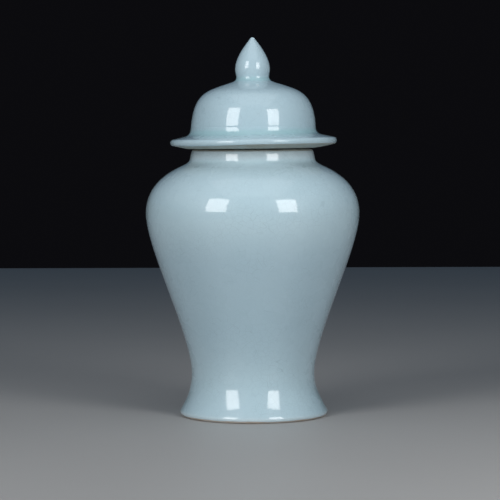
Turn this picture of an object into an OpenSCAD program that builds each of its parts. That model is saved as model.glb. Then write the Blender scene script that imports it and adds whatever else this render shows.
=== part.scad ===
// Lidded ginger jar: a broad-shouldered porcelain jar on a flared foot, with a
// flanged, domed lid that drops into the neck and carries a bud finial.
// Millimetres, +Z up, origin at the centre of the face that it stands on.
// Every outline is drawn as [radius, height] and turned about the Z axis.

/* [Jar] */
// Height of the mouth rim above the table
jar_h = 282.6; // [280:0.2:288]
// Diameter of the flared foot
foot_d = 156.8; // [148:0.2:164]
// Height of the foot ring, and depth of the hollow under the base
foot_h = 14; // [11:0.5:16]
// Narrowest diameter, at the waist
waist_d = 130.6; // [124:0.2:138]
// Height of the waist
waist_z = 43.8; // [40:0.2:50]
// Largest diameter, at the shoulder
belly_d = 226.2; // [210:0.2:240]
// Height of the largest diameter
belly_z = 214.5; // [208:0.5:220]
// Outside diameter of the neck, just under its rounded rim
neck_d = 129.6; // [126:0.2:134]
// Wall thickness of the jar
jar_wall = 7; // [5:0.5:8]
// Thickness of the floor
floor_t = 8; // [6:0.5:10]

/* [Luting seams] */
// Height of the seam between the lower and upper halves of the body
body_seam_z = 200; // [150:1:210]
// Height of the seam between the shoulder and the neck
neck_seam_z = 264; // [258:1:268]

/* [Lid] */
// Diameter of the flange
flange_d = 176.4; // [168:0.2:184]
// Rounding radius of the flange's outer edge
flange_round = 3.7; // [3:0.1:4.2]
// Height of the flange where the dome starts
flange_h = 22.6; // [21.5:0.1:23.5]
// Outside diameter of the dome
dome_d = 132.2; // [129:0.2:135]
// Height of the dome above the flange, up to the finial
dome_h = 53; // [48:0.1:58]
// Wall thickness of the lid
lid_wall = 5.5; // [4.5:0.5:6.5]
// Gap between the lid and the mouth rim
seat_gap = 0.3; // [0.1:0.1:0.5]

/* [Locating collar under the lid] */
// Radial clearance between the collar and the neck
collar_clearance = 1.8; // [1.2:0.1:2.5]
// Depth that the collar reaches into the neck
collar_h = 18; // [14:1:20]
// Wall thickness of the collar
collar_wall = 5; // [4:0.5:6]

/* [Finial] */
// Largest diameter of the bud
finial_d = 36.8; // [35:0.2:40]
// Diameter of the bud's narrow base
finial_base_d = 34.6; // [31:0.1:34.8]
// Height of the bud
finial_h = 41.5; // [36:0.5:46]
// Diameter of the vent hole between the hollow bud and the lid
vent_d = 5; // [3:0.5:7]

/* [Hidden] */
$fn = 128;

glaze = [0.69, 0.79, 0.82];
biscuit = [0.80, 0.74, 0.68];

curve_steps = 14;  // straight stretches in one curve
arc_steps = 6;     // straight stretches in one rounded edge
seam_reach = 150;  // radius that clears every outline

foot_r = foot_d / 2;
waist_r = waist_d / 2;
belly_r = belly_d / 2;
neck_r = neck_d / 2;
flange_r = flange_d / 2;
dome_r = dome_d / 2;
finial_r = finial_d / 2;
finial_base_r = finial_base_d / 2;

// A cubic curve from a to d, steered by b and c, without its last point
function curve(a, b, c, d) = [
    for (i = [0 : curve_steps - 1])
        let (t = i / curve_steps, s = 1 - t)
            s * s * s * a + 3 * s * s * t * b + 3 * s * t * t * c + t * t * t * d
];

// An arc about centre c, from angle a0 to angle a1, without its last point
function arc(c, r, a0, a1) = [
    for (i = [0 : arc_steps - 1])
        let (a = a0 + (a1 - a0) * i / arc_steps)
            c + r * [cos(a), sin(a)]
];

// The point at distance r from c, in the direction of angle a
function at(c, r, a) = c + r * [cos(a), sin(a)];

function reversed(points) = [for (i = [len(points) - 1 : -1 : 0]) points[i]];

// An outline that runs upwards, moved inwards by t at right angles to itself
function inset(points, t) = [
    for (i = [0 : len(points) - 1])
        let (run = points[min(i + 1, len(points) - 1)] - points[max(i - 1, 0)])
            points[i] - t * [run.y, -run.x] / norm(run)
];

// ---- Jar ----

foot_round = 3.8;   // rounding of the foot's outer edge
foot_inner_round = 1.5;
foot_face_w = 4.5;  // width of the flat that the jar stands on
foot_fillet = 3;    // hollow corner between the foot ring and the base
shoulder_slope = 27;
rim_round = 4.8;    // outer edge of the mouth rim
rim_lean = 12;      // the neck narrows towards the rim
rim_inner_round = 1;

foot_edge = [foot_r - foot_round, foot_round];
foot_leave = 19;    // angle at which the edge runs into the flare
flare_start = at(foot_edge, foot_round, foot_leave);
waist = [waist_r, waist_z];
belly = [belly_r, belly_z];
neck_base = [neck_r + 14.4, jar_h - 20];
rim_centre = [neck_r - rim_round * cos(rim_lean), jar_h - rim_round];
rim_start = at(rim_centre, rim_round, rim_lean);
neck_foot = at(rim_start, 8, rim_lean - 90);
foot_flat_r = foot_edge.x - foot_face_w;
foot_wall_r = foot_flat_r - foot_inner_round;

foot_outline = concat(
    arc(foot_edge, foot_round, -90, foot_leave),
    curve(flare_start, at(flare_start, 4.3, foot_leave + 90), waist - [0, 19.6], waist));

wall_outline = concat(
    curve(waist, waist + [0, 40.5], belly - [0, 36.5], belly),
    curve(belly, belly + [0, 29.2], at(neck_base, 12.6, -shoulder_slope), neck_base),
    curve(neck_base, at(neck_base, 5.9, 180 - shoulder_slope), at(neck_foot, 3.6, rim_lean - 90),
          neck_foot),
    [neck_foot, rim_start]);

inner_wall = inset(wall_outline, jar_wall);
inner_waist = inner_wall[0];
bore_r = neck_r - jar_wall;
floor_z = foot_h + floor_t;

rim_outline = concat(
    arc(rim_centre, rim_round, rim_lean, 90),
    [[rim_centre.x, jar_h]],
    arc([bore_r + rim_inner_round, jar_h - rim_inner_round], rim_inner_round, 90, 180),
    [[bore_r, jar_h - rim_inner_round]]);

bowl_outline = curve([0, floor_z], [40, floor_z], inner_waist - [0, 14], inner_waist);

base_outline = concat(
    [[0, foot_h]],
    arc([foot_wall_r - foot_fillet, foot_h - foot_fillet], foot_fillet, 90, 0),
    [[foot_wall_r, foot_h - foot_fillet]],
    arc([foot_flat_r, foot_inner_round], foot_inner_round, 180, 270),
    [[foot_flat_r, 0]]);

module jar_section() {
    polygon(concat(foot_outline, wall_outline, rim_outline,
                   reversed(concat(bowl_outline, inner_wall)), base_outline));
}

// The part of a turned section between two heights
module turned_band(low, high) {
    rotate_extrude()
        intersection() {
            children();
            translate([0, low]) square([seam_reach, high - low]);
        }
}

module foot_ring() {
    color(glaze) turned_band(0, foot_h) jar_section();
}

module lower_body() {
    color(glaze) turned_band(foot_h, body_seam_z) jar_section();
}

module upper_body() {
    color(glaze) turned_band(body_seam_z, neck_seam_z) jar_section();
}

module neck() {
    color(glaze) turned_band(neck_seam_z, jar_h) jar_section();
}

// ---- Lid ----

lid_z = jar_h + seat_gap;     // underside of the flange, on the mouth rim
dome_z = lid_z + flange_h;    // seam between the flange and the dome
crown_z = dome_z + dome_h;    // seam between the dome and the finial
tip_z = crown_z + finial_h;

collar_r = bore_r - collar_clearance;
collar_bore_r = collar_r - collar_wall;

flange_slope = 14;            // of its top, at the outer edge
under_slope = 12;             // of its underside, at the outer edge
flange_edge = [flange_r - flange_round, lid_z + 7.1];
flange_under = at(flange_edge, flange_round, under_slope - 90);
flange_top = at(flange_edge, flange_round, 90 - flange_slope);
flange_flat_r = neck_r + 0.9; // the flat seat ends here and the underside starts to rise
fillet_end = [dome_r + 6.9, dome_z - 9];
fillet_slope = 14;
dome_lean = 4;                // the dome narrows upwards from its foot
dome_foot = [dome_r, dome_z];
crown_start = [43, crown_z - 12.7];
crown_slope = 21.5;
crown_t = 12.5;               // thickness of the crown under the finial

flange_outline = concat(
    [[collar_bore_r, lid_z]],
    curve([flange_flat_r, lid_z], [flange_flat_r + 6, lid_z],
          at(flange_under, 6, 180 + under_slope), flange_under),
    arc(flange_edge, flange_round, under_slope - 90, 90 - flange_slope),
    curve(flange_top, at(flange_top, 4, 180 - flange_slope), at(fillet_end, 4, -fillet_slope),
          fillet_end),
    curve(fillet_end, at(fillet_end, 5, 180 - fillet_slope), at(dome_foot, 6, dome_lean - 90),
          dome_foot));

dome_wall = concat(
    curve(dome_foot, at(dome_foot, 23, 90 + dome_lean), at(crown_start, 16, -crown_slope),
          crown_start),
    [crown_start]);

crown_outline = curve(crown_start, at(crown_start, 21, 180 - crown_slope),
                      [finial_base_r, crown_z - 6.6], [finial_base_r, crown_z]);

inner_dome = inset(dome_wall, lid_wall);
inner_crown_start = inner_dome[len(inner_dome) - 1];
inner_crown_z = crown_z - crown_t;

inner_crown = curve([0, inner_crown_z], [14, inner_crown_z],
                    at(inner_crown_start, 15, 180 - crown_slope), inner_crown_start);

inner_flange = curve([collar_bore_r, lid_z + 5], [collar_bore_r, lid_z + 10],
                     at(inner_dome[0], 10, dome_lean - 90), inner_dome[0]);

bud_waist = [finial_base_r, crown_z];
bud_belly = [finial_r, crown_z + 8];
tip_round = 2.8;
tip_slope = 33.4;             // half the angle of the bud's point
tip_centre = [0, tip_z - tip_round];
tip_start = at(tip_centre, tip_round, tip_slope);

bud_outline = concat(
    curve(bud_waist, bud_waist + [0, 2.2], bud_belly - [0, 4.5], bud_belly),
    curve(bud_belly, bud_belly + [0, 13.8], at(tip_start, 3, tip_slope - 90), tip_start),
    arc(tip_centre, tip_round, tip_slope, 90),
    [[0, tip_z]]);

bud_hollow = concat(
    curve([0, crown_z + 5], [15, crown_z + 5], [14.5, crown_z + 17], [0, tip_z - 9]),
    [[0, tip_z - 9]]);

module lid_section() {
    difference() {
        polygon(concat(flange_outline, dome_wall, crown_outline, bud_outline, inner_crown,
                       reversed(concat(inner_flange, inner_dome))));
        polygon(bud_hollow);
        translate([0, inner_crown_z - 5]) square([vent_d / 2, crown_t + 15]);
    }
}

// A plain ring with a rounded lower edge, luted to the underside of the flange
module lid_collar() {
    edge = [collar_r - collar_wall / 2, lid_z - collar_h + collar_wall / 2];
    color(biscuit)
        rotate_extrude()
            polygon(concat(
                [[collar_bore_r, lid_z]],
                arc(edge, collar_wall / 2, 180, 360),
                [[collar_r, edge.y], [collar_r, lid_z]]));
}

module lid_flange() {
    color(glaze) turned_band(lid_z, dome_z) lid_section();
}

module lid_dome() {
    color(glaze) turned_band(dome_z, crown_z) lid_section();
}

module lid_finial() {
    color(glaze) turned_band(crown_z, tip_z + 1) lid_section();
}

foot_ring();
lower_body();
upper_body();
neck();
lid_collar();
lid_flange();
lid_dome();
lid_finial();
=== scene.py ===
"""The looks of the lidded ginger jar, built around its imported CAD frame.

Outlines are in millimetres as (radius, height) pairs, and turned(...) makes them meshes in metres.
"""
import math

import bpy
import numpy as np
from mathutils import Matrix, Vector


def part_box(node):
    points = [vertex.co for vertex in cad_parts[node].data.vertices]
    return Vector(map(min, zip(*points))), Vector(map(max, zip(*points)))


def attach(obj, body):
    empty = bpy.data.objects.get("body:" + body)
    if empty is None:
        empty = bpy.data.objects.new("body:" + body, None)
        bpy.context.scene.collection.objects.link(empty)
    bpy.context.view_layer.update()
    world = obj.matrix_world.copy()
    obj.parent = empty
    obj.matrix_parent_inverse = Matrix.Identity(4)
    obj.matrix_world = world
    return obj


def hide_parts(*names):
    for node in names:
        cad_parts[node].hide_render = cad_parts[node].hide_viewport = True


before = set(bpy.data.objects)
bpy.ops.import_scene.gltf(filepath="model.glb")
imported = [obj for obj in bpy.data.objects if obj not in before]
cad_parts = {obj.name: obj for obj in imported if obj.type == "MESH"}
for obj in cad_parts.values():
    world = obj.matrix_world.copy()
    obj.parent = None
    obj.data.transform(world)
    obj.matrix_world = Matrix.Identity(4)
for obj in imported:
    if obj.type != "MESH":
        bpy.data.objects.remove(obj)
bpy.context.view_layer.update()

MM = 0.001
SEGMENTS = 288      # facets round every turned piece, the same on all so that seams meet
OUTER_STEP = 1.2    # spacing of the rings on surfaces that show
INNER_STEP = 2.6    # spacing of the rings inside the jar and the lid
SEAM_STEP = 0.12    # spacing of the last ring before a seam, so that gloss runs across it
RING_GAP = 0.2      # and no other ring is nearer to that one than this
SAME_POINT = 1e-4   # points nearer to each other than this are one point
POOLING = 22        # how strongly the glaze gathers in a hollow
THINNING = 7        # how strongly it draws back from an edge


# ---- Sizes, from the CAD frame ----

def low_high(node):
    low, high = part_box(node)
    return np.array(low) / MM, np.array(high) / MM


def radius(node):
    low, high = low_high(node)
    return max(high[0] - low[0], high[1] - low[1]) / 2


foot_r = radius("foot_ring")
foot_h = low_high("foot_ring")[1][2]
belly_r = radius("upper_body")
body_seam_z = low_high("lower_body")[1][2]
neck_seam_z = low_high("neck")[0][2]
jar_h = low_high("neck")[1][2]
lid_z = low_high("lid_flange")[0][2]
dome_z = low_high("lid_dome")[0][2]
crown_z = low_high("lid_finial")[0][2]
tip_z = low_high("lid_finial")[1][2]
flange_r = radius("lid_flange")
dome_r = radius("lid_dome")
finial_r = radius("lid_finial")
collar_r = radius("lid_collar")
collar_z = low_high("lid_collar")[0][2]

# ---- Shape, as in the CAD design ----

waist = np.array([65.3, 43.8])
belly = np.array([belly_r, 214.5])
neck_r = 64.8
jar_wall = 7.0
floor_z = foot_h + 8.0
foot_round = 3.8
foot_flat_r = foot_r - foot_round - 4.5
foot_inner_round = 1.5
foot_wall_r = foot_flat_r - foot_inner_round
foot_fillet = 3.0
foot_seam_r = foot_wall_r - foot_fillet
shoulder_slope = 27
rim_round = 4.8
rim_lean = 12
rim_inner_round = 1.0
bore_r = neck_r - jar_wall

collar_wall = 5.0
collar_bore_r = collar_r - collar_wall
lid_wall = 5.5
flange_round = 3.7
flange_slope = 14
under_slope = 12
fillet_slope = 14
dome_lean = 4
crown_slope = 21.5
crown_t = 12.5
vent_r = 2.5
finial_base_r = 17.3
tip_round = 2.8
tip_slope = 33.4

# Where the glaze ends
foot_line_z = 2.2           # above the bare standing edge
rim_line_z = jar_h - 2.2    # below the bare mouth rim
under_line_angle = -38      # on the lip, about the centre of its edge; bare below this
bare_step = 0.25            # how far the bare clay lies below the glaze beside it
lip_depth = 1.2             # where the bare seat meets the glazed flange, above the seat


def at(centre, distance, angle):
    a = math.radians(angle)
    return np.array(centre) + distance * np.array([math.cos(a), math.sin(a)])


def curve(a, b, c, d, step=OUTER_STEP):
    """A cubic curve from a to d, steered by b and c."""
    a, b, c, d = (np.array(p, float) for p in (a, b, c, d))
    length = (np.linalg.norm(b - a) + np.linalg.norm(c - b) + np.linalg.norm(d - c)
              + np.linalg.norm(d - a)) / 2
    t = np.linspace(0, 1, max(6, math.ceil(length / step)) + 1)[:, None]
    s = 1 - t
    return s ** 3 * a + 3 * s * s * t * b + 3 * s * t * t * c + t ** 3 * d


def arc(centre, r, a0, a1, step=0.35):
    count = max(6, math.ceil(math.radians(abs(a1 - a0)) * r / step))
    return np.array([at(centre, r, a) for a in np.linspace(a0, a1, count + 1)])


def joined(*runs):
    """The runs end to end, with a point that two of them share kept once."""
    points = np.vstack([np.atleast_2d(np.array(run, float)) for run in runs])
    keep = [0]
    for i in range(1, len(points)):
        if np.linalg.norm(points[i] - points[keep[-1]]) > SAME_POINT:
            keep.append(i)
    return points[keep]


def inset(points, t):
    """An outline that runs upwards, moved inwards by t at right angles to itself."""
    run = np.gradient(points, axis=0)
    normal = np.stack([run[:, 1], -run[:, 0]], axis=1) / np.linalg.norm(run, axis=1)[:, None]
    return points - t * normal


def resampled(points, step):
    """The same outline with its rings spaced evenly."""
    s = np.concatenate([[0], np.cumsum(np.linalg.norm(np.diff(points, axis=0), axis=1))])
    at_s = np.linspace(0, s[-1], max(2, math.ceil(s[-1] / step)) + 1)
    return np.stack([np.interp(at_s, s, points[:, k]) for k in range(points.shape[1])], axis=1)


def glaze_depth(points):
    """A third column: how the glaze has pooled, from 1 in a hollow to -1 on a sharp edge.

    It follows the curvature of the turned surface, smoothed over a few millimetres. The bend
    round the axis counts for a little more than the bend along the outline."""
    spacing = 0.5    # of outline and length column together, so 0.35 mm along the outline
    reach = 9        # rings to each side that the smoothing takes in
    least_r = 4      # keeps the curvature finite on the axis
    s = np.concatenate([[0], np.cumsum(np.linalg.norm(np.diff(points, axis=0), axis=1))])
    even = resampled(np.column_stack([points, s]), spacing)
    run = np.gradient(even[:, :2], axis=0)
    run /= np.linalg.norm(run, axis=1)[:, None]
    bend = np.gradient(np.unwrap(np.arctan2(run[:, 1], run[:, 0]))) / spacing
    hoop = run[:, 1] / np.maximum(even[:, 0], least_r)
    mean = (bend + hoop) / 2
    kernel = np.hanning(2 * reach + 1)
    padded = np.pad(mean, reach, mode="edge")
    smooth = np.convolve(padded, kernel / kernel.sum(), mode="valid")
    depth = np.where(smooth < 0, np.tanh(-smooth * POOLING), -np.tanh(smooth * THINNING))
    return np.column_stack([points, np.interp(s, even[:, 2], depth)])


def cut(points, low, high):
    """The stretch of an upward outline between two heights, with a fine ring at each end."""
    z = points[:, 1]
    ends = [low, low + SEAM_STEP, high - SEAM_STEP, high]
    inside = [v for v in z if ends[1] + RING_GAP < v < ends[2] - RING_GAP]
    heights = np.array(sorted(ends + inside))
    return np.stack([np.interp(heights, z, points[:, k]) if k != 1 else heights
                     for k in range(points.shape[1])], axis=1)


# The jar, from its standing edge up to the mouth rim, outside and inside
foot_edge = (foot_r - foot_round, foot_round)
foot_leave = 19
flare_start = at(foot_edge, foot_round, foot_leave)
neck_base = np.array([neck_r + 14.4, jar_h - 20])
rim_centre = np.array([neck_r - rim_round * math.cos(math.radians(rim_lean)), jar_h - rim_round])
rim_inner_centre = (bore_r + rim_inner_round, jar_h - rim_inner_round)
rim_start = at(rim_centre, rim_round, rim_lean)
neck_foot = at(rim_start, 8, rim_lean - 90)

jar_wall_outline = joined(
    curve(waist, waist + (0, 40.5), belly - (0, 36.5), belly),
    curve(belly, belly + (0, 29.2), at(neck_base, 12.6, -shoulder_slope), neck_base),
    curve(neck_base, at(neck_base, 5.9, 180 - shoulder_slope), at(neck_foot, 3.6, rim_lean - 90),
          neck_foot),
    resampled(np.array([neck_foot, rim_start]), OUTER_STEP))
jar_outside = glaze_depth(joined(
    arc(foot_edge, foot_round, -90, foot_leave),
    curve(flare_start, at(flare_start, 4.3, foot_leave + 90), waist - (0, 19.6), waist),
    jar_wall_outline,
    arc(rim_centre, rim_round, rim_lean, 90)))

# The glaze lies more evenly over the body's hollows than over the lid's
jar_outside[jar_outside[:, 2] > 0, 2] *= 0.2
# The neck is painted paler through the thin-glaze colour: painted light, for the light that falls
# on it
jar_outside[:, 2] -= 0.75 * np.clip((jar_outside[:, 1] - neck_seam_z - 1) / 12, 0, 1)

inner_wall = inset(jar_wall_outline, jar_wall)
jar_inside = glaze_depth(resampled(joined(
    curve((0, floor_z), (40, floor_z), inner_wall[0] - (0, 14), inner_wall[0]),
    inner_wall,
    [(bore_r, jar_h - rim_inner_round)],
    arc(rim_inner_centre, rim_inner_round, 180, 90)), INNER_STEP))

# The lid, from the underside of the flange up to the tip, outside and inside
flange_edge = np.array([flange_r - flange_round, lid_z + 7.1])
flange_under = at(flange_edge, flange_round, under_slope - 90)
flange_top = at(flange_edge, flange_round, 90 - flange_slope)
flange_flat_r = neck_r + 0.9
fillet_end = np.array([dome_r + 6.9, dome_z - 9])
crown_start = np.array([43, crown_z - 12.7])
dome_foot = np.array([dome_r, dome_z])
bud_waist = np.array([finial_base_r, crown_z])
bud_belly = np.array([finial_r, crown_z + 8])
tip_centre = np.array([0, tip_z - tip_round])
tip_start = at(tip_centre, tip_round, tip_slope)

dome_wall = curve(dome_foot, at(dome_foot, 23, 90 + dome_lean), at(crown_start, 16, -crown_slope),
                  crown_start)
flange_outside = joined(
    curve((flange_flat_r, lid_z), (flange_flat_r + 6, lid_z),
          at(flange_under, 6, 180 + under_slope), flange_under),
    arc(flange_edge, flange_round, under_slope - 90, 90 - flange_slope),
    curve(flange_top, at(flange_top, 4, 180 - flange_slope), at(fillet_end, 4, -fillet_slope),
          fillet_end),
    curve(fillet_end, at(fillet_end, 5, 180 - fillet_slope), at(dome_foot, 6, dome_lean - 90),
          dome_foot))
lid_outside = glaze_depth(joined(
    flange_outside,
    dome_wall,
    curve(crown_start, at(crown_start, 21, 180 - crown_slope), bud_waist - (0, 6.6), bud_waist),
    curve(bud_waist, bud_waist + (0, 2.2), bud_belly - (0, 4.5), bud_belly),
    curve(bud_belly, bud_belly + (0, 13.8), at(tip_start, 3, tip_slope - 90), tip_start),
    arc(tip_centre, tip_round, tip_slope, 90)))
lid_outside[lid_outside[:, 2] < 0, 2] *= 0.4    # the lid's edges have kept more of their glaze


# ---- Handmade shape ----

OVAL = 0.16                         # how far the jar is from round
DOME_LEAN = math.radians(0.26)      # both lean down on the -X side
FLANGE_LEAN = math.radians(0.92)
GLAZE_RUN = math.radians(33)        # how far round the lip the glaze has run
FOOT_SHIFT = 0.75                   # how far the foot lies off the axis, to the +X side
SEAT_SHIFT = 0.7                    # how far the lid's seat does
DOME_SHIFT = 0.4                    # how much further the top of the dome lies than the seat
FINIAL_SHIFT = -0.8                 # and the finial than the dome
FLANGE_SHIFT = 0.35                 # and the edge of the flange than the seat


def ease(t):
    """From 0 to 1 with no corner at either end."""
    t = np.clip(t, 0, 1)
    return t * t * (3 - 2 * t)


def jar_warp(x, y, z):
    """The thrown body is very slightly oval, and its foot is a hair off its axis."""
    turn = np.arctan2(y, x)
    swell = np.sin(np.clip(z / jar_h, 0, 1) * math.pi)
    grow = 1 + OVAL * swell * np.cos(2 * turn + 0.7) / belly_r
    sway = FOOT_SHIFT * ease((32 - z) / 18)
    return x * grow + sway, y * grow, z


def lid_warp(x, y, z):
    """The lid sits off centre and its flange sags on the -X side; the seat stays flat."""
    r = np.hypot(x, y)
    lean = DOME_LEAN * ease((z - lid_z - 1) / 12) + (FLANGE_LEAN - DOME_LEAN) * ease((r - 61) / 8)
    sway = SEAT_SHIFT + DOME_SHIFT * ease((z - lid_z) / 45)
    sway += FINIAL_SHIFT * ease((z - crown_z + 12) / 16) + FLANGE_SHIFT * ease((r - 68) / 10)
    return x + sway, y, z + x * np.sin(lean)


def flange_warp(x, y, z):
    """On the -X side the glaze has run further round, to the underside of the lip."""
    r = np.hypot(x, y)
    across, up = r - flange_edge[0], z - flange_edge[1]
    angle = np.degrees(np.arctan2(up, across))
    near = np.interp(angle, (under_slope - 90, under_line_angle, 30), (0, 1, 0)) * (across > 0)
    slip = GLAZE_RUN * near * ease(-x / r / 0.6)
    new_r = flange_edge[0] + across * np.cos(slip) + up * np.sin(slip)
    new_z = flange_edge[1] - across * np.sin(slip) + up * np.cos(slip)
    return lid_warp(x * new_r / r, y * new_r / r, new_z)


def glaze_line(turn):
    """How far the lower edge of the glaze wanders up and down."""
    return 0.28 * np.sin(3 * turn + 1.0) + 0.2 * np.sin(8 * turn + 2.2) + 0.12 * np.sin(19 * turn)


def foot_warp(x, y, z):
    """The glaze stops at an uneven line just above the standing face."""
    turn = np.arctan2(y, x)
    r = np.hypot(x, y)
    near = np.clip(1 - np.abs(z - foot_line_z) / 1.8, 0, 1)
    lifted = z + glaze_line(turn) * near
    outside = r > (foot_r + foot_wall_r) / 2
    slide = np.where(outside, outline_radius(lifted) - outline_radius(z), 0)
    grow = (r + slide) / np.maximum(r, 1e-6)
    return jar_warp(x * grow, y * grow, lifted)


def outline_radius(z):
    return np.interp(z, jar_outside[:, 1], jar_outside[:, 0])


# ---- Turned pieces ----

def turned(name, loop, material, body, node, warp):
    """A closed outline of (radius, height, glaze depth) turned about the Z axis into a mesh."""
    loop = np.array(loop, float)
    turn = np.arange(SEGMENTS) * 2 * math.pi / SEGMENTS
    rings, verts, depth, count = [], [], [], 0
    for r, z, d in loop:
        on_axis = r < 1e-6
        angles = turn[:1] if on_axis else turn
        rings.append((count, on_axis))
        verts.append(np.column_stack([r * np.cos(angles), r * np.sin(angles),
                                      np.full(len(angles), z)]))
        depth.append(np.full(len(angles), d))
        count += len(angles)
    verts = np.vstack(verts)
    verts = np.column_stack(warp(*verts.T)) * MM

    faces = []
    this, after = np.arange(SEGMENTS), (np.arange(SEGMENTS) + 1) % SEGMENTS
    for (a, a_axis), (b, b_axis) in zip(rings, rings[1:] + rings[:1]):
        if a_axis and b_axis:
            continue
        if a_axis:
            faces += np.column_stack([np.full(SEGMENTS, a), b + after, b + this]).tolist()
        elif b_axis:
            faces += np.column_stack([a + this, a + after, np.full(SEGMENTS, b)]).tolist()
        else:
            faces += np.column_stack([a + this, a + after, b + after, b + this]).tolist()

    mesh = bpy.data.meshes.new(name)
    mesh.from_pydata(verts.tolist(), [], faces)
    mesh.polygons.foreach_set("use_smooth", [True] * len(faces))
    mesh.attributes.new("glaze_depth", "FLOAT", "POINT").data.foreach_set(
        "value", np.concatenate(depth).astype(np.float32))
    mesh.set_sharp_from_angle(angle=math.radians(35))
    mesh.materials.append(material)
    mesh.validate()
    piece = bpy.data.objects.new(name, mesh)
    bpy.context.scene.collection.objects.link(piece)
    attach(piece, body)
    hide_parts(node)
    return piece


def loop_of(*runs):
    """One closed outline from runs of two or three columns; a plain run has no glaze depth."""
    full = []
    for run in runs:
        run = np.atleast_2d(np.array(run, float))
        if run.shape[1] == 2:
            run = np.column_stack([run, np.zeros(len(run))])
        full.append(run)
    points = np.vstack(full)
    keep = [i for i in range(len(points))
            if np.linalg.norm(points[i, :2] - points[i - 1, :2]) > SAME_POINT]
    return points[keep]


# ---- Materials ----

def new_material(name):
    material = bpy.data.materials.new(name)
    material.use_nodes = True
    nodes = material.node_tree.nodes
    nodes.clear()
    shader = nodes.new("ShaderNodeBsdfPrincipled")
    out = nodes.new("ShaderNodeOutputMaterial")
    material.node_tree.links.new(shader.outputs["BSDF"], out.inputs["Surface"])
    return material, shader


class Graph:
    """Short names for the nodes that the materials use."""

    def __init__(self, material):
        self.tree = material.node_tree
        self.place = self.node("ShaderNodeTexCoord").outputs["Object"]

    def node(self, kind, **settings):
        made = self.tree.nodes.new(kind)
        for key, value in settings.items():
            setattr(made, key, value)
        return made

    def link(self, source, socket):
        self.tree.links.new(source, socket)

    def put(self, value, socket):
        if isinstance(value, (int, float, tuple)):
            socket.default_value = value
        else:
            self.link(value, socket)

    def height(self):
        split = self.node("ShaderNodeSeparateXYZ")
        self.link(self.place, split.inputs[0])
        return split.outputs["Z"]

    def noise(self, size, detail=2.0, roughness=0.5):
        """Noise from 0 to 1 whose features are about size metres across."""
        made = self.node("ShaderNodeTexNoise")
        self.link(self.place, made.inputs["Vector"])
        made.inputs["Scale"].default_value = 1 / size
        made.inputs["Detail"].default_value = detail
        made.inputs["Roughness"].default_value = roughness
        return made.outputs["Fac"]

    def ramp(self, value, low, high, to_low=0.0, to_high=1.0):
        made = self.node("ShaderNodeMapRange", interpolation_type="SMOOTHSTEP")
        self.link(value, made.inputs["Value"])
        made.inputs["From Min"].default_value = low
        made.inputs["From Max"].default_value = high
        made.inputs["To Min"].default_value = to_low
        made.inputs["To Max"].default_value = to_high
        return made.outputs["Result"]

    def maths(self, operation, a, b):
        made = self.node("ShaderNodeMath", operation=operation)
        self.put(a, made.inputs[0])
        self.put(b, made.inputs[1])
        return made.outputs[0]

    def mix(self, factor, a, b, blend="MIX"):
        made = self.node("ShaderNodeMix", data_type="RGBA", blend_type=blend)
        self.put(factor, made.inputs["Factor"])
        self.put(a, made.inputs[6])
        self.put(b, made.inputs[7])
        return made.outputs[2]

    def cracks(self, size, width):
        """1 along the cracks between cells about size metres across, and 0 elsewhere."""
        wander = self.node("ShaderNodeTexNoise")
        self.link(self.place, wander.inputs["Vector"])
        wander.inputs["Scale"].default_value = 0.6 / size
        wander.inputs["Detail"].default_value = 1.0
        shift = self.node("ShaderNodeVectorMath", operation="MULTIPLY_ADD")
        self.link(wander.outputs["Color"], shift.inputs[0])
        shift.inputs[1].default_value = (0.45 * size,) * 3
        self.link(self.place, shift.inputs[2])
        cells = self.node("ShaderNodeTexVoronoi", feature="DISTANCE_TO_EDGE")
        self.link(shift.outputs[0], cells.inputs["Vector"])
        cells.inputs["Scale"].default_value = 1 / size
        return self.ramp(cells.outputs["Distance"], 0.0, width / size, 1.0, 0.0)

    def bump(self, height, distance):
        made = self.node("ShaderNodeBump")
        made.inputs["Strength"].default_value = 1.0
        made.inputs["Distance"].default_value = distance
        self.link(height, made.inputs["Height"])
        return made.outputs["Normal"]


# Colours, linear
GLAZE = (0.52, 0.69, 0.76, 1)
POOLED_GLAZE = (0.33, 0.59, 0.62, 1)
# Paler glaze where it thins at edges, and painted light on the neck
THIN_GLAZE_AND_LIT_NECK = (0.72, 0.82, 0.86, 1)
CRACK_STAIN = (0.55, 0.60, 0.62, 1)
# Painted shade, multiplied into the glaze below the shoulder and over the lid
PAINTED_SHADE_TINT = (0.86, 0.88, 0.905, 1)
MOTTLE = (0.46, 0.62, 0.72, 1)
CLAY = (0.60, 0.56, 0.51, 1)
FLASHED_CLAY = (0.55, 0.47, 0.39, 1)
GRIT = (0.42, 0.38, 0.34, 1)
# Painted shade on the bare clay under the lid, where the flange shades it
UNDER_LID_SHADE = (0.72, 0.82, 0.85, 1)
FLOOR = (0.38, 0.376, 0.370, 1)
FLOOR_CLOUDS = (0.42, 0.416, 0.408, 1)
STUDIO_DARK = (0.0035, 0.0035, 0.0045, 1)
STUDIO_GLOW = (0.026, 0.048, 0.076, 1)


def painted_shade(g):
    """0 to 1: painted shade, full on the lower body below the shoulder, where it turns down and
    away from the lights, and half over the lid.
    """
    above_foot = g.ramp(g.height(), 0.025, 0.10)
    below_shoulder = g.ramp(g.height(), 0.16, 0.212, 1.0, 0.0)
    on_body = g.maths("MULTIPLY", above_foot, below_shoulder)
    on_lid = g.ramp(g.height(), lid_z * MM, (lid_z + 8) * MM, 0.0, 0.5)
    return g.maths("MAXIMUM", on_body, on_lid)


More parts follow.
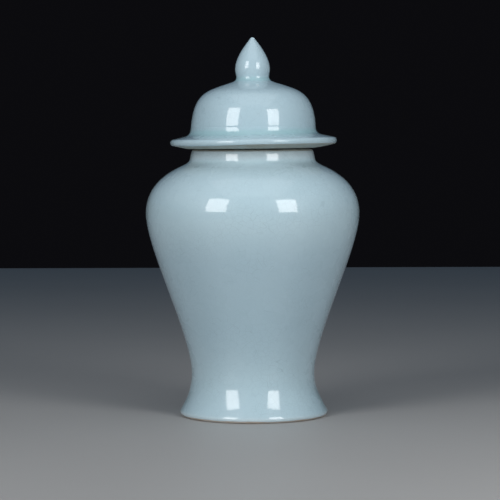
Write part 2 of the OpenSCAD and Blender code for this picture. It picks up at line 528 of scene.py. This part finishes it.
def celadon():
    """A thick, very glossy pale blue-green glaze with a fine, faint crackle."""
    material, shader = new_material("celadon_glaze")
    g = Graph(material)
    depth = g.node("ShaderNodeAttribute", attribute_name="glaze_depth").outputs["Fac"]
    drift = g.ramp(g.noise(0.055, 3.0), 0.35, 0.65, -0.10, 0.10)
    depth = g.maths("ADD", depth, drift)
    colour = g.mix(g.ramp(depth, 0.0, 0.9, 0.0, 0.62), GLAZE, POOLED_GLAZE)
    # Paler where the glaze thins at edges, and painted light on the neck
    thinness_and_lit_neck = g.maths("MULTIPLY", depth, -1.0)
    colour = g.mix(g.ramp(thinness_and_lit_neck, 0.0, 1.0, 0.0, 0.65), colour, THIN_GLAZE_AND_LIT_NECK)
    # Painted shade: darkens the glaze below the shoulder and over the lid
    colour = g.mix(painted_shade(g), colour, PAINTED_SHADE_TINT, "MULTIPLY")
    mottle = g.ramp(g.noise(0.009, 4.0, 0.6), 0.3, 0.7)
    colour = g.mix(g.maths("MULTIPLY", mottle, 0.10), colour, MOTTLE)

    coarse = g.cracks(0.0062, 0.00022)
    fine = g.cracks(0.0027, 0.00012)
    patchy = g.ramp(g.noise(0.05, 2.0), 0.38, 0.62, 0.35, 1.0)
    net = g.maths("MAXIMUM", coarse, g.maths("MULTIPLY", fine, 0.55))
    net = g.maths("MULTIPLY", net, patchy)
    colour = g.mix(g.maths("MULTIPLY", net, 0.32), colour, CRACK_STAIN, "MULTIPLY")
    g.link(colour, shader.inputs["Base Color"])

    g.link(g.ramp(g.noise(0.02, 3.0), 0.3, 0.7, 0.22, 0.34), shader.inputs["Roughness"])
    shader.inputs["Specular IOR Level"].default_value = 0.15
    shader.inputs["Coat Weight"].default_value = 1.0
    shader.inputs["Coat Roughness"].default_value = 0.035
    shader.inputs["Coat IOR"].default_value = 1.45
    surface = g.bump(g.noise(0.016, 1.0), 0.000025)
    g.link(surface, shader.inputs["Normal"])
    g.link(surface, shader.inputs["Coat Normal"])
    return material


def biscuit():
    """Bare fired porcelain: matte, a little gritty, warmer where iron has flashed, and darkened
    under the lid with painted shade, a blue-grey tint."""
    material, shader = new_material("bare_biscuit")
    g = Graph(material)
    flash = g.ramp(g.noise(0.022, 3.0), 0.42, 0.7)
    colour = g.mix(flash, CLAY, FLASHED_CLAY)
    grit = g.noise(0.0009, 3.0, 0.65)
    colour = g.mix(g.ramp(grit, 0.55, 0.75, 0.0, 0.35), colour, GRIT)
    # Painted shade: the bare clay under the lid is darkened and tinted blue-grey
    under_lid_shade = g.ramp(g.height(), (jar_h - 30) * MM, (jar_h - 22) * MM)
    colour = g.mix(under_lid_shade, colour, UNDER_LID_SHADE, "MULTIPLY")
    g.link(colour, shader.inputs["Base Color"])
    shader.inputs["Roughness"].default_value = 0.82
    shader.inputs["Specular IOR Level"].default_value = 0.3
    g.link(g.bump(grit, 0.00012), shader.inputs["Normal"])
    return material


def floor_material():
    """Matte pale grey, with faint clouds."""
    material, shader = new_material("pale_floor")
    g = Graph(material)
    colour = g.mix(g.noise(0.4, 4.0), FLOOR, FLOOR_CLOUDS)
    g.link(colour, shader.inputs["Base Color"])
    shader.inputs["Roughness"].default_value = 0.55
    return material


# ---- Camera, lights and floor ----

CAMERA_PLACE = (-0.0029, -2.2557, 0.3034)
CAMERA_PITCH = 3.254    # degrees down
CAMERA_ROLL = -0.17
LENS = 153.3
FLOOR_HALF = 2.4
SOFTBOXES = (   # place in metres, turn to the left and tilt down in degrees, width, height, watts
    ((-1.003, -1.208, 0.903), -33.3, 14.0, 0.66, 0.93, 14.0),
    ((0.700, -0.909, 0.655), 29.8, 23.4, 0.44, 0.62, 6.7),
    ((0, -0.5, 1.9), 0, 75, 1.8, 1.8, 6.0),
)


def studio_world():
    """A dark studio whose faint bluish light comes from overhead."""
    world = bpy.data.worlds.new("studio")
    world.use_nodes = True
    nodes, links = world.node_tree.nodes, world.node_tree.links
    direction = nodes.new("ShaderNodeTexCoord").outputs["Generated"]
    split = nodes.new("ShaderNodeSeparateXYZ")
    links.new(direction, split.inputs[0])
    rise = nodes.new("ShaderNodeMapRange")
    rise.interpolation_type = "SMOOTHSTEP"
    links.new(split.outputs["Z"], rise.inputs["Value"])
    rise.inputs["From Min"].default_value = 0.06
    rise.inputs["From Max"].default_value = 0.22
    sky = nodes.new("ShaderNodeMix")
    sky.data_type = "RGBA"
    links.new(rise.outputs["Result"], sky.inputs["Factor"])
    sky.inputs[6].default_value = STUDIO_DARK
    sky.inputs[7].default_value = STUDIO_GLOW
    links.new(sky.outputs[2], nodes["Background"].inputs["Color"])
    return world


def turned_to(place, yaw, pitch, roll=0.0):
    """A camera or lamp at a place, looking along +Y, turned to the left and tilted down."""
    yaw, pitch, roll = (math.radians(angle) for angle in (yaw, pitch, roll))
    return (Matrix.Translation(place) @ Matrix.Rotation(yaw, 4, "Z")
            @ Matrix.Rotation(math.pi / 2 - pitch, 4, "X") @ Matrix.Rotation(roll, 4, "Z"))


def make_camera(scene):
    camera = bpy.data.objects.new("camera", bpy.data.cameras.new("camera"))
    scene.collection.objects.link(camera)
    camera.data.sensor_width = 36
    camera.data.lens = LENS
    camera.matrix_world = turned_to(CAMERA_PLACE, 0, CAMERA_PITCH, CAMERA_ROLL)
    scene.camera = camera


def make_lights(scene):
    for place, yaw, pitch, width, height, watts in SOFTBOXES:
        light = bpy.data.lights.new("softbox", "AREA")
        light.shape = "RECTANGLE"
        light.size, light.size_y = width, height
        light.energy = watts
        box = bpy.data.objects.new("softbox", light)
        box.matrix_world = turned_to(place, yaw, pitch)
        scene.collection.objects.link(box)
    scene.world = studio_world()


def make_floor(scene):
    mesh = bpy.data.meshes.new("floor")
    half = FLOOR_HALF
    mesh.from_pydata([(-half, -half, 0), (half, -half, 0), (half, half, 0), (-half, half, 0)], [],
                     [(0, 1, 2, 3)])
    mesh.materials.append(floor_material())
    floor = bpy.data.objects.new("floor", mesh)
    scene.collection.objects.link(floor)


make_camera(bpy.context.scene)
make_lights(bpy.context.scene)
make_floor(bpy.context.scene)
bpy.context.scene.view_settings.view_transform = "Standard"

# ---- The jar ----

glaze = celadon()
bare = biscuit()

foot_outside = cut(jar_outside, foot_line_z, foot_h)
turned("foot_ring", loop_of(
    foot_outside,
    arc((foot_seam_r, foot_h - foot_fillet), foot_fillet, 90, 0),
    resampled(np.array([(foot_wall_r, foot_h - foot_fillet), (foot_wall_r, foot_line_z)]), 1),
    [(foot_wall_r, foot_line_z)]), glaze, "jar", "foot_ring", foot_warp)

bare_edge = arc(foot_edge, foot_round, -90, 12)    # runs past the glaze line, and is cut there
bare_edge = bare_edge[bare_edge[:, 1] < foot_line_z]
turned("foot_ring_bare", loop_of(
    bare_edge - np.column_stack([bare_step * np.clip(bare_edge[:, 1] / foot_line_z, 0, 1),
                                 np.zeros(len(bare_edge))]),
    [(outline_radius(foot_line_z) - bare_step, foot_line_z)],
    [(foot_wall_r + bare_step, foot_line_z)],
    arc((foot_flat_r, foot_inner_round), foot_inner_round - bare_step, 180, 270),
    [(foot_flat_r, 0)]), bare, "jar", "foot_ring", foot_warp)

lower_inside = jar_inside[jar_inside[:, 1] < body_seam_z - SEAM_STEP - RING_GAP]
turned("lower_body", loop_of(
    cut(jar_outside, foot_h, body_seam_z),
    [np.append([np.interp(body_seam_z, jar_inside[:, 1], jar_inside[:, 0])], [body_seam_z, 0])],
    lower_inside[::-1],
    resampled(np.array([(0, foot_h), (foot_seam_r, foot_h)]), 2.5)),
    glaze, "jar", "lower_body", jar_warp)

turned("upper_body", loop_of(
    cut(jar_outside, body_seam_z, neck_seam_z),
    cut(jar_inside, body_seam_z, neck_seam_z)[::-1]),
    glaze, "jar", "upper_body", jar_warp)

turned("neck", loop_of(
    cut(jar_outside, neck_seam_z, rim_line_z),
    cut(jar_inside, neck_seam_z, rim_line_z)[::-1]),
    glaze, "jar", "neck", jar_warp)

bare_rim_round = rim_round - bare_step
rim_line_angle = math.degrees(math.asin((rim_line_z - rim_centre[1]) / bare_rim_round))
rim_outside = arc(rim_centre, bare_rim_round, rim_line_angle, 90)
rim_inside = arc(rim_inner_centre, rim_inner_round - bare_step, 90, 180)
turned("mouth_rim_bare", loop_of(
    [(rim_outside[0][0], rim_line_z)], rim_outside, rim_inside,
    [(rim_inside[-1][0], rim_line_z)]), bare, "jar", "neck", jar_warp)

# ---- The lid ----

under_line_r, under_line_z = at(flange_edge, flange_round, under_line_angle)
under_line = int(np.argmax(flange_outside[:, 0] > under_line_r))
inner_dome = inset(dome_wall, lid_wall)
inner_crown_z = crown_z - crown_t
inner_flange = curve((collar_bore_r, lid_z + 5), (collar_bore_r, lid_z + 10),
                     at(inner_dome[0], 10, dome_lean - 90), inner_dome[0])
inner_crown = curve(inner_dome[-1], at(inner_dome[-1], 15, 180 - crown_slope),
                    (14, inner_crown_z), (vent_r, inner_crown_z))
under_dome = glaze_depth(resampled(joined(inner_dome, inner_crown), INNER_STEP))
under_flange = glaze_depth(joined([(collar_bore_r, lid_z)], inner_flange))

lid_top = lid_outside[len(flange_outside):]
dome_outside = cut(lid_top, dome_z + 1e-3, crown_z)
turned("lid_flange", loop_of(
    [(under_line_r, under_line_z)],
    lid_outside[under_line:len(flange_outside)],
    under_flange[::-1],
    [(collar_r, lid_z), (collar_r, lid_z + lip_depth), (under_line_r, under_line_z + lip_depth)]),
    glaze, "lid", "lid_flange", flange_warp)

turned("lid_seat_bare", loop_of(
    [(collar_r, lid_z + bare_step)],
    flange_outside[:under_line] + (0, bare_step),
    [(under_line_r, under_line_z + bare_step), (under_line_r, under_line_z + lip_depth),
     (collar_r, lid_z + lip_depth)]),
    bare, "lid", "lid_flange", flange_warp)

collar_edge = (collar_r - collar_wall / 2, collar_z + collar_wall / 2)
turned("lid_collar", loop_of(
    arc(collar_edge, collar_wall / 2, 180, 360),
    resampled(np.array([(collar_r, collar_edge[1]), (collar_r, lid_z)]), 1.5),
    [(collar_bore_r, lid_z)]),
    bare, "lid", "lid_collar", lid_warp)

turned("lid_dome", loop_of(
    [np.array([dome_r, dome_z, dome_outside[0][2]])],
    dome_outside[1:],
    [(vent_r, crown_z)],
    under_dome[::-1]),
    glaze, "lid", "lid_dome", lid_warp)

bud_outside = lid_top[lid_top[:, 1] > crown_z + 2 * SEAM_STEP]
bud_hollow = curve((vent_r, crown_z + 5.2), (13, crown_z + 5), (14.5, crown_z + 17), (0, tip_z - 9))
turned("lid_finial", loop_of(
    [dome_outside[-1]],
    [np.array([np.interp(crown_z + SEAM_STEP, lid_top[:, 1], lid_top[:, 0]), crown_z + SEAM_STEP,
               dome_outside[-1][2]])],
    bud_outside,
    bud_hollow[::-1],
    [(vent_r, crown_z)]),
    glaze, "lid", "lid_finial", lid_warp)

bpy.context.view_layer.update()
